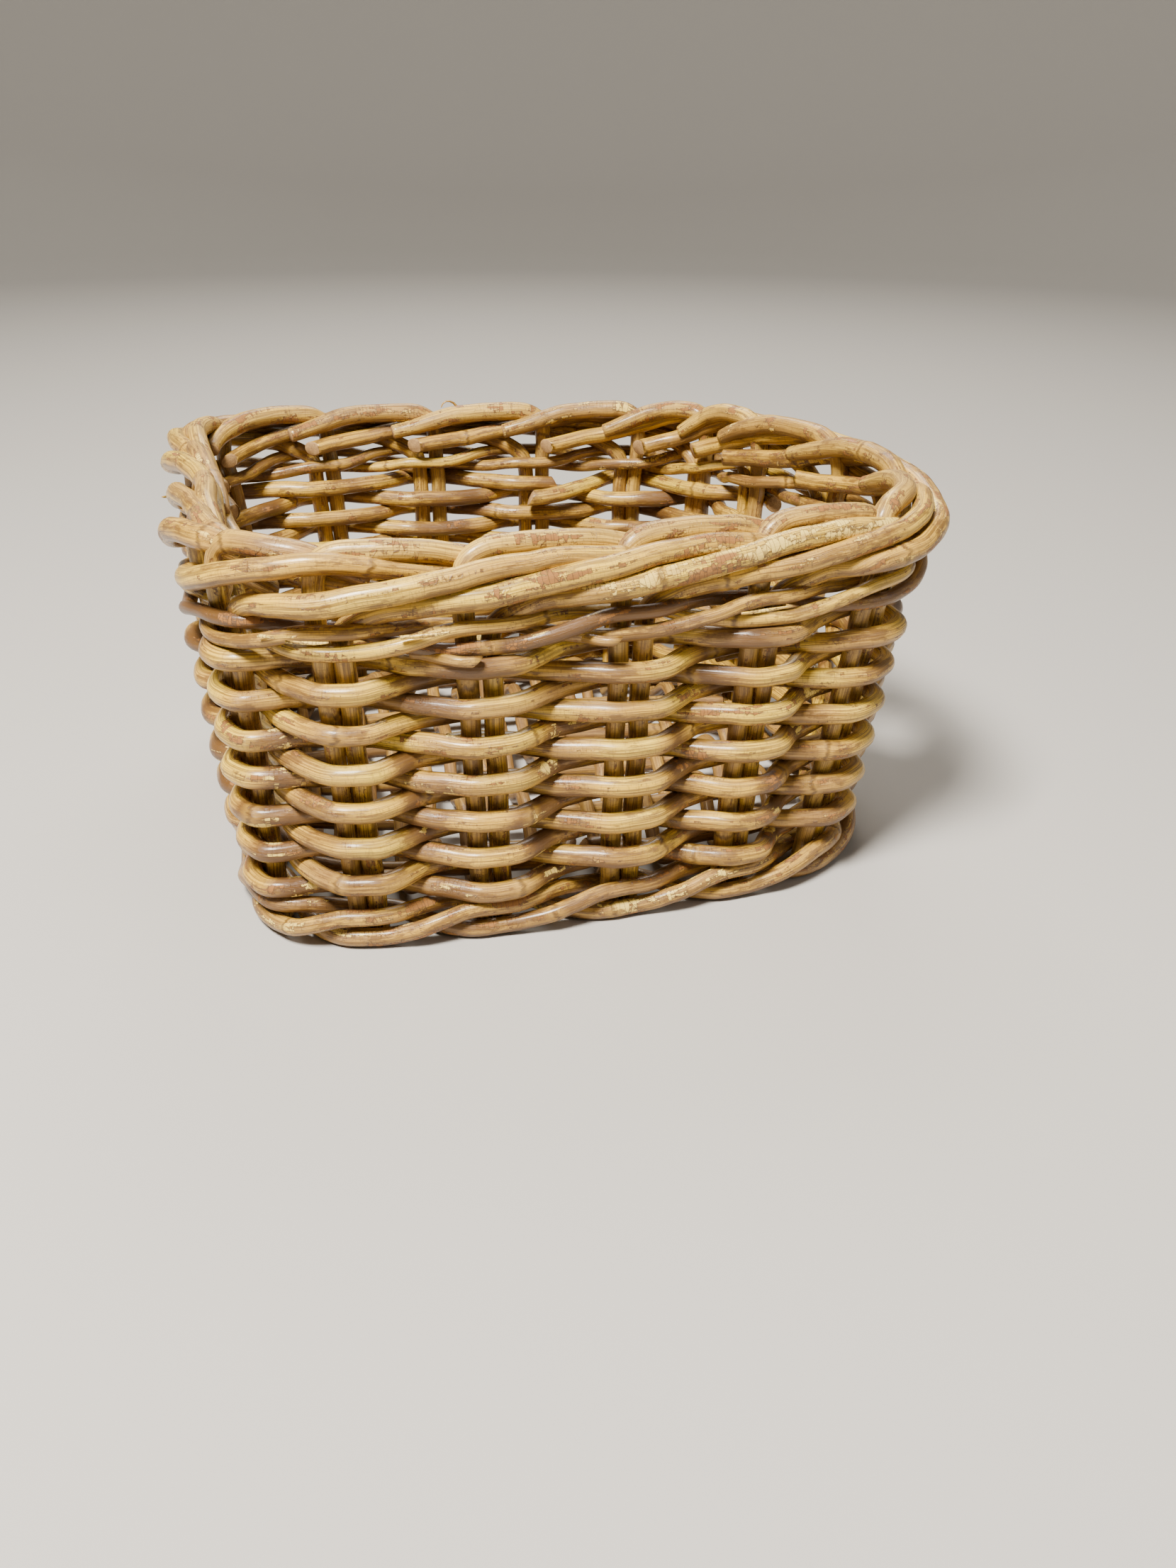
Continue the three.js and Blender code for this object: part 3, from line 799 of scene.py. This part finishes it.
# %% Stops along the roll
# Each stop is: stake spacings run, mm out of the roll's middle, mm above it.
STRAND = (
    (0.3, 3, -11.5), (0.6, 9.5, -8), (1.0, 12, -4), (1.5, 12, 2), (2.0, 9.5, 8), (2.45, 5, 10.5),
    (2.8, 3, 6), (3.05, 0, 1.5), (3.3, -3, -4), (3.6, -8, -9), (3.85, -14, -11), (4.05, -18, -12.5),
)
LOOP = (
    (0.25, 3, -11.5), (0.45, 9.5, -8), (0.65, 12.5, -3), (0.85, 13, 4), (1.1, 11, 10),
    (1.4, 5.5, 13.5), (1.75, -1, 13.5), (2.1, -7, 9.5), (2.5, -9.5, 4.5), (2.85, -11, -1),
    (3.15, -14, -7), (3.35, -18, -11.5),
)
LOBE = (
    (0.0, 0, -20), (0.0, 0, -8), (0.0, -1, 2), (0.03, -2.5, 10), (0.16, -4, 15), (0.5, -5, 16),
    (0.85, -6.5, 13.5), (1.15, -10, 7), (1.4, -11.5, 0),
)
print("a strand runs %.2f spacings, a lobe %.2f" % (STRAND[-1][0], LOBE[-1][0]))

# %% The routes of a stake and a bye-stake
STAKE_BEND = 12  # mm, radius of the bend at the top of the upright
FOOT_GAP = 1  # mm from the floor to an upright's cut foot
PRESS = 7  # mm that the top of the roll is pressed down at the back
PRESS_PLACE = 9.8  # where it is pressed most
PRESS_HALF = 2.2  # half width of the pressed part, in spacings
ROLL_BOTTOM = -11.5  # mm, the lowest strand's middle
ROLL_HEIGHT = 22  # mm from there to the highest one's
BULGE_RUN = 0.9  # where along a strand it stands out
BULGE_HALF = 0.6
ROLL_MARKS = 120  # points along a strand's rough route
bend_base = border_height - border_core - STAKE_BEND


def smooth_step(value):
    value = np.clip(value, 0, 1)
    return value * value * (3 - 2 * value)


def pressed(place, up):
    """Heights in the roll, which is pressed down on the wale at the back."""
    depth = PRESS * np.exp(-((place - PRESS_PLACE) / PRESS_HALF) ** 2)
    return up - depth * smooth_step((up - ROLL_BOTTOM) / ROLL_HEIGHT)


def along_roll(start, stops, bulge=0.0, loop=0.0):
    """A route round the rim, pushed outward early on, and part of the way to a loop."""
    stops, loops = respaced(stops, ROLL_MARKS), respaced(LOOP, ROLL_MARKS)
    run, out, up = ((1 - loop) * stops + loop * loops).T
    out = out + bulge * np.exp(-((run - BULGE_RUN) / BULGE_HALF) ** 2)
    return wall(start + run, border_height, out, pressed(start + run, up))


def upright_route(start, top, stops, reach, *shape):
    """Up the wall from the foot to the top, on along the roll, and softened."""
    upright = wall(start, np.linspace(FOOT_GAP, top, 40))
    return soften(np.concatenate([upright, along_roll(start, stops, *shape)]), reach)


# %% [markdown]
# No two strands are alike, so what sets some of them apart is told by stake number:
# how far one stands out at a corner, how far it goes towards a loop, how worn or how
# slim it is. All the rest is left to chance within narrow limits. An upright keeps
# the stake's thickness, and the strand grows to the border's, since the butt of a
# cane is its thicker end.

# %% Bend the eighteen stakes
STRAND_RUN = STRAND[-1][0]
BULGES = {2: 4, 3: 5, 16: 4}  # mm outward
LOOPED = {3: 0.3, 4: 0.3, 5: 0.3, 10: 0.4, 11: 0.8, 12: 1, 13: 1, 14: 1, 15: 0.6}  # shares
WORN = {17: 0.55, 18: 0.8, 1: 0.5, 2: 0.7, 14: 0.55}
SLIM = {5: 0.94, 6: 0.92, 7: 0.92, 8: 0.92, 9: 0.94}
CURLS = {7: 2.6}  # where a fibre has sprung off, in spacings along the strand
CURL = (
    # spacings, mm out, mm up
    (-0.12, 2, 9), (-0.02, 1, 13), (0.02, 0, 18), (0.05, -1, 22), (0.11, -2, 24), (0.16, -3, 22),
    (0.17, -3, 19),
)
CURL_THICKNESS = 2.6

for number in range(1, PAIRS + 1):
    start = number - 0.5 + LEG / spacing
    loop = LOOPED.get(number, 0)
    bulge = BULGES.get(number, chance.uniform(-0.5, 1.5))
    route = upright_route(start, bend_base, STRAND, 6, bulge, loop)
    out = outward(np.linspace(start, start + STRAND_RUN, len(route)))
    share = border_height / (border_height + STRAND_RUN * spacing)
    light = chance.uniform(0.02, 0.38)
    tone = ([0, share, share + 0.1, 1], [0.26, 0.26, light, light + 0.12])
    most = WORN.get(number, chance.uniform(0.1, 0.45))
    wear = ([0, share, share + 0.1, 0.9, 1], [0.35, 0.35, most, most, 0.2])
    full = chance.uniform(0.98, 1.12) * SLIM.get(number, 1)
    thick = ([0, share - 0.05, share + 0.1, 0.8, 1],
             [STAKE / BORDER, STAKE / BORDER, full, full * 0.95, full * 0.88])
    canes = [bend(route, BORDER, up=out, tone=tone, wear=wear, thick=thick, wobble=0.5,
                  cut=(0, chance.uniform(0.3, 0.8)))]
    if number in CURLS:
        run, out, up = np.array(CURL).T
        place = start + CURLS[number] + run
        fibre = soften(wall(place, border_height, out, up - PRESS), 2)
        canes.append(bend(fibre, CURL_THICKNESS, tone=0.3, wear=0.2, wobble=0.2,
                          thick=([0, 0.5, 1], [1, 0.8, 0.3])))
    make_piece("stake_%02d" % number, "stake_cane", *canes)
count("stake")

# %% Bend the bye-stakes
UPRIGHT_PART = 0.62  # of a bye-stake's length
LOBE_START = 0.7

for number in range(1, PAIRS + 1):
    start = number - 0.5 - LEG / spacing
    top = span("bye_stake_%02d" % number)[1] - STAKE_BEND
    route = upright_route(start, top, LOBE, 4.5)
    out = outward(np.linspace(start, start + LOBE[-1][0], len(route)))
    light = chance.uniform(0.0, 0.3)
    parts = [0, UPRIGHT_PART, LOBE_START, 1]
    cane = bend(route, STAKE, up=-out, tone=(parts, [0.2, 0.2, light, light]),
                wear=(parts, [0.3, 0.3, 0.5, 0.5]), wobble=0.4,
                thick=([0, UPRIGHT_PART, LOBE_START, 0.9, 1], [1, 1, 1.14, 1.14, 0.9]))
    make_piece("bye_stake_%02d" % number, "bye_stake_cane", cane)
count("bye_stake")

# %% [markdown]
# ## Weaving
# Plain weaving goes in front of one pair and behind the next, and the row above does
# the opposite. A sine wave would give that in one line, but a stiff cane doesn't
# swing evenly: it comes slowly to the front, lies flat against the pair, and is
# pulled sharply away behind. So one stroke is drawn with a few straight lines, which are
# then softened. A row's two ends meet inside the basket: the first is tucked a
# cane's thickness further in and passes behind the last.

# %% One row, in front and behind
weave_depth = STAKE / 2 + HALF_WIDTH * WEAVER + GAP
FRONT_EASE = 0.06  # a cane stands off a little more in front than behind
STROKE = (
    # spacings past the pair that it passes in front of, and side of the wall
    (-0.78, -1), (-0.5, -0.15), (-0.26, 0.5), (-0.09, 1), (0.2, 1), (0.5, -0.42), (0.76, -0.86),
    (0.93, -1), (1.22, -1),
)


def row_side(row, stake):
    """1 where a row passes outside a pair, and -1 where it passes inside."""
    return -1 if (row + round(stake - 0.5)) % 2 == 0 else 1


def weave(row, place):
    """How far out a cane runs. It comes to the front slowly, and bends sharply behind."""
    start = STROKE[0][0]
    front = 0.5 if row_side(row, 0.5) > 0 else 1.5
    mark, side = np.array(STROKE).T
    side = np.interp(np.mod(place - front - start, 2) + start, mark, side)
    return weave_depth * side * (1 + FRONT_EASE * (side > 0))


def woven(offset, base, most):
    """Values along a cane, higher where it dives behind a pair. As tone this is part real stain and
    part painted shade between the canes; as wear it is wear where no hand rubs it.
    """
    hidden = np.clip(1.1 - np.abs(offset) / weave_depth, 0, 1)
    diving = np.gradient(offset) < 0
    return np.linspace(0, 1, len(offset)), base + most * hidden * np.where(diving, 1, 0.5)


print("a row stands %.1f mm off the stakes' line" % weave_depth)

# %% The full rows
FIRST_END = -0.24  # where a row's first end lies, in spacings past a pair
LAST_END = 0.12  # where its last end lies, in front of the first
TUCK_END = 0.34  # where the tuck of the first end is over
TUCK_LENGTH = 0.5
START_STEP = 5  # spacings from one row's start to the next row's
ROW_MARKS = 1300  # points along a row's rough route

for row in range(FULL_ROWS):
    start = 0.5 + (START_STEP * row) % PAIRS
    joint = start if row_side(row, start) < 0 else start + 1
    place = np.linspace(joint + FIRST_END, joint + PAIRS + LAST_END, ROW_MARKS)
    tuck = (WEAVER + GAP) * smooth_step((joint + TUCK_END - place) / TUCK_LENGTH)
    offset = weave(row, place)
    z = row_height(row) + 0.5 * drift(place * spacing, 150)
    route = wall(place, z, offset - tuck)
    # The tone darkens where the row dives behind a pair: part stain, part painted shade between the
    # canes.
    cane = bend(soften(route, 3.5), WEAVER * chance.uniform(1.04, 1.14),
                tone=woven(offset, chance.uniform(0.0, 0.3), 0.75),
                wear=woven(offset, chance.uniform(0.05, 0.4), 0.5),
                wobble=0.5, cut=(chance.uniform(-0.6, 0.6), 0.3), spread=0.07)
    make_piece("weaver_row_%02d" % (row + 1), "weaver_cane", cane)
count("weaver_row")

# %% [markdown]
# Above the ninth row each end has a hand hole. The weaver can't pass it, so the
# cane turns back round the last pair, climbs a row and goes back. Seen from the
# hole, the turns stack up like the coils of a spring. Four rows need more than one
# cane, so a second is laid in beside the end of the first, and both cut ends
# show inside the basket.

# %% The route that turns back at the hand holes
END_PAIR = PAIRS // 4 + 0.5
END_TAIL = 0.2  # spacings that a cut end runs past the last pair
TURN_EASE = 1.06  # a turn-back bends this much wider than it needs
TURN_DEPTH = 1.04  # and starts and ends this much further from the stakes' line
turn_reach = (LEG + weave_depth) / spacing


def upper_route(first, last):
    """One cane's route through the rows beside a hand hole, and its side of the wall."""
    route = []
    offsets = []
    for i in range(HOLE_ROWS):
        row = FULL_ROWS + i
        heading = 1 if i % 2 == 0 else -1
        begin, end = (first, last)[::heading]
        tails = END_TAIL * (i == 0), END_TAIL * (i == HOLE_ROWS - 1)
        place = np.linspace(begin - heading * tails[0], end + heading * tails[1], 500)
        offset = weave(row, place)
        offsets.append(offset)
        route.append(wall(place, row_height(row), offset))
        if i < HOLE_ROWS - 1:
            angle = np.linspace(0.1, 0.9, 12) * np.pi
            around = end + heading * TURN_EASE * turn_reach * np.sin(angle)
            z = row_height(row) + row_pitch * angle / np.pi
            out = row_side(row, end) * TURN_DEPTH * weave_depth * np.cos(angle)
            route.append(wall(around, z, out))
    route = soften(np.concatenate(route), 4)
    offsets = np.concatenate(offsets)[:, None]
    return route, respaced(offsets, len(route))[:, 0]


# %% Bend the upper weavers
SPANS = {"upper_weaver_front": (-END_PAIR + 1, END_PAIR - 1),
         "upper_weaver_back": (END_PAIR + 1, PAIRS - END_PAIR - 1)}
SPLICES = {"upper_weaver_front": (11, 1.69), "upper_weaver_back": (12, 8.29)}  # row and place
SPLICE_LAP = 20  # mm that one cane overlaps the next
SPLICE_EASE = 75  # mm that the second takes to come back into line
SPLICE_DROP = 8  # mm that the second starts below the first

for node, (first, last) in SPANS.items():
    route, offset = upper_route(first, last)
    row, at = SPLICES[node]
    joint = wall(at, row_height(row), weave(row, at))
    cut_at = np.linalg.norm(route - joint, axis=1).argmin()
    canes = []
    for begin, end in ((0, cut_at), (cut_at - SPLICE_LAP, len(route))):
        length = route[begin:end]
        aside = smooth_step(1 - np.arange(len(length)) / SPLICE_EASE)[:, None] * (begin > 0)
        inward = length * (-1, -1, 0) / np.linalg.norm(length[:, :2], axis=1)[:, None]
        # The tone darkens where the cane dives behind a pair or turns back: part stain, part
        # painted shade between the canes.
        canes.append(bend(length + aside * (inward * WEAVER - UP * SPLICE_DROP), WEAVER * 1.04,
                          tone=woven(offset[begin:end], chance.uniform(0.0, 0.2), 0.75), wear=0.3,
                          wobble=0.5, cut=(0.5, -0.5), spread=0.06))
    make_piece(node, "weaver_cane", *canes)
count("upper_weaver")

# %% [markdown]
# ## Wales
# A wale is a rope of three canes that binds all the uprights. Each cane in turn
# passes in front of two pairs and behind one. It rises as it goes, crosses over the
# other two, dips behind, and comes out below them. One wale holds the foot, and a
# thinner one closes the weaving under the border. The thin one is roughly finished:
# short tails of cane poke out under it, and strips of its brittle skin have sprung
# off. They belong to the cane beside them, so they are in its mesh.

# %% The route of a wale's cane
RODS = 3
WALE_BULGE = 3.5  # mm that a cane stands out between its two pairs
STROKE_HALF = 1.22 * (LEG + STAKE / 2) / spacing  # spacings that it lies flat on a pair
WALE_FIRST_END = -0.12  # where a cane's ends lie, in spacings past its first pair
WALE_LAST_END = -0.04
WALE_TUCK_END = 0.25
WALE_TUCK_LENGTH = 0.4
WALE_MARKS = 1400


def wale_route(rod, thickness, heights):
    depth = STAKE / 2 + HALF_WIDTH * thickness + GAP
    low, high = heights
    middle = (low + high) / 2
    stops = []
    for step in range(PAIRS + 1):
        stake = rod + 0.5 + step
        stage = step % RODS
        z, out = [(middle, -depth), (low, depth), (high, depth)][stage]
        between = [(low, 0), (middle, depth + WALE_BULGE), (high, 0)][stage]
        stops += [(stake - STROKE_HALF, z, out), (stake + STROKE_HALF, z, out),
                  (stake + 0.5, *between)]
    place, z, out = np.array(stops).T
    first = rod + 0.5
    fine = np.linspace(first + WALE_FIRST_END, first + PAIRS + WALE_LAST_END, WALE_MARKS)
    tuck = thickness * smooth_step((first + WALE_TUCK_END - fine) / WALE_TUCK_LENGTH)
    out = np.interp(fine, place, out) - tuck
    return soften(wall(fine, np.interp(fine, place, z), out), 8)


# %% What is wound in each wale
DARK = ([0, 0.1, 0.6, 0.76, 0.94, 1], [0.85, 0.5, 0.4, 0.9, 0.8, 0.7])  # darkest at the front left
WALES = {
    # name: (thickness, heights, tone and wear of each cane)
    "foot_wale": (FOOT_WALE, foot_wale, ((0.4, 0.5), (0.5, 0.4), (0.35, 0.6))),
    "top_wale": (TOP_WALE, top_wale, ((0.15, 0.3), (DARK, 0.5), (0.4, 0.3))),
}
TAILS = {
    # place, length in spacings, mm down, thickness
    "top_wale_01": ((17.05, 0.42, 9, 5.5), (0.08, 0.28, 6, 5.5)),
    "top_wale_03": ((4.3, 0.3, 8, 6), (9.6, 0.3, 8, 6), (12.6, 0.35, 8, 5)),
}
SPLITS = {
    # place, length in spacings, mm up, thickness
    "top_wale_01": ((16.05, 0.3, 5, 2.2), (16.25, 0.3, 3, 1.8), (17.0, 0.3, 6, 2.4)),
    "top_wale_02": ((1.2, 0.35, 2, 1.8), (6.9, 0.3, 4, 2.0), (12.1, 0.3, 3, 2.2)),
}


print("tails:", sum(map(len, TAILS.values())), "strips:", sum(map(len, SPLITS.values())))

# %% Bend the wales, with their tails and split strips
TAIL_START = 2  # mm from the stakes' line to where a tail starts
TAIL_REACH = STAKE + 5  # mm that it comes out from there
SPLIT_OUT = STAKE / 2 + TOP_WALE + 4  # mm from the stakes' line to a strip
SPLIT_SPRING = 5  # mm that its end stands off further


def tail(start, length, down, thickness):
    """The slanted end of a cane that comes out from between the uprights."""
    place = np.linspace(start, start + length, 40)
    out = TAIL_START + TAIL_REACH * smooth_step(np.linspace(0, 1.2, 40))
    route = wall(place, sum(top_wale) / 2 - down, out)
    return bend(soften(route, 4), thickness, tone=0.4, wear=0.35, wobble=0.3, cut=(0, 1.0))


def split(start, length, up, thickness):
    """A thin strip that follows the wale and stands off it at its end."""
    place = np.linspace(start, start + length, 40)
    spring = np.linspace(0, 1, 40) ** 2.5
    route = wall(place, sum(top_wale) / 2 + up + 3 * spring, SPLIT_OUT + SPLIT_SPRING * spring)
    return bend(route, thickness, tone=0.1, wear=0.9, wobble=0.3,
                thick=([0, 0.6, 1], [0.8, 1, 0.5]))


for stem, (thickness, heights, looks) in WALES.items():
    for rod, (tone, wear) in enumerate(looks):
        node = "%s_%02d" % (stem, rod + 1)
        canes = [bend(wale_route(rod, thickness, heights), thickness, tone=tone, wear=wear,
                      wobble=0.4, cut=(0.4, 0.3), spread=0.06)]
        canes += [tail(*values) for values in TAILS.get(node, ())]
        canes += [split(*values) for values in SPLITS.get(node, ())]
        make_piece(node, "wale_cane", *canes)
    count(stem)

# %% [markdown]
# ## Floor and light
# The floor is one pale dish: flat under the basket, then curving up into a wall all
# round, so there is no hard horizon from any side. It is a profile, spun once round.
# Three large soft lamps light it: one high in front, a weaker one from the right,
# and one from behind for the rim. Large lamps give the long soft highlights
# that show varnish.

# %% The floor
FLOOR_REACH = 2.8
WALL_BEND = 1.2
WALL_TOP = 3.2
dish = bmesh.new()
profile = [(0, 0), (FLOOR_REACH, 0)]
for step in range(1, 9):
    slope = np.pi / 2 * step / 8
    profile.append((FLOOR_REACH + WALL_BEND * np.sin(slope), WALL_BEND * (1 - np.cos(slope))))
profile.append((FLOOR_REACH + WALL_BEND, WALL_TOP))
points = [dish.verts.new((x, 0, z)) for x, z in profile]
edges = [dish.edges.new(pair) for pair in zip(points, points[1:])]
bmesh.ops.spin(dish, geom=points + edges, cent=(0, 0, 0), axis=(0, 0, 1), angle=2 * np.pi, steps=48,
               use_merge=True)
bmesh.ops.remove_doubles(dish, verts=dish.verts, dist=1e-5)
bmesh.ops.recalc_face_normals(dish, faces=dish.faces)
if min(dish.faces, key=lambda face: face.calc_center_median().length).normal.z < 0:
    bmesh.ops.reverse_faces(dish, faces=dish.faces)
floor_mesh = bpy.data.meshes.new("studio_floor")
dish.to_mesh(floor_mesh)
dish.free()
floor_mesh.shade_smooth()
material, tree = new_material("matt_paper_backdrop")
paper = add(tree, "ShaderNodeBsdfPrincipled", {"Base Color": linear("#b6b2ab"), "Roughness": 0.9})
add(tree, "ShaderNodeOutputMaterial", {0: paper})
floor_mesh.materials.append(material)
floor = bpy.data.objects.new("studio_floor", floor_mesh)
bpy.context.scene.collection.objects.link(floor)
floor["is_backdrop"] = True
print("floor:", len(floor_mesh.polygons), "faces")

# %% The lamps
target = Vector((0, 0, 0.12))  # half way up the basket
LAMPS = {
    # name: (place, width, power in watts, colour)
    "key": ((-0.7, -0.9, 2.0), 0.55, 168, "#fffaf3"),
    "fill": ((1.8, -0.9, 1.2), 1.6, 8, "#ffffff"),
    "rim": ((0.3, 1.6, 1.8), 1.2, 36, "#fffaf3"),
}
AIR_COLOUR, AIR_STRENGTH = "#f4f0e8", 0.06  # the faint light from everywhere else
for name, (place, width, power, colour) in LAMPS.items():
    lamp = bpy.data.lights.new(name + "_lamp", "AREA")
    lamp.size = width
    lamp.energy = power
    lamp.color = linear(colour)[:3]
    stand(name + "_lamp", lamp, place, target - Vector(place))

air = bpy.data.worlds.new("studio_air")
air.use_nodes = True
bpy.context.scene.world = air
glow = air.node_tree.nodes["Background"].inputs
glow["Color"].default_value = linear(AIR_COLOUR)
glow["Strength"].default_value = AIR_STRENGTH
print("lamps:", sorted(LAMPS))

# %% Sizes for comparison, and finish
for mesh, _ in pegs.values():
    bpy.data.meshes.remove(mesh)
boxes = {"cad": cad_box, "visual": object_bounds()}
for name, box in boxes.items():
    print(name, [[round(v / MM, 1) for v in corner] for corner in box])
count()
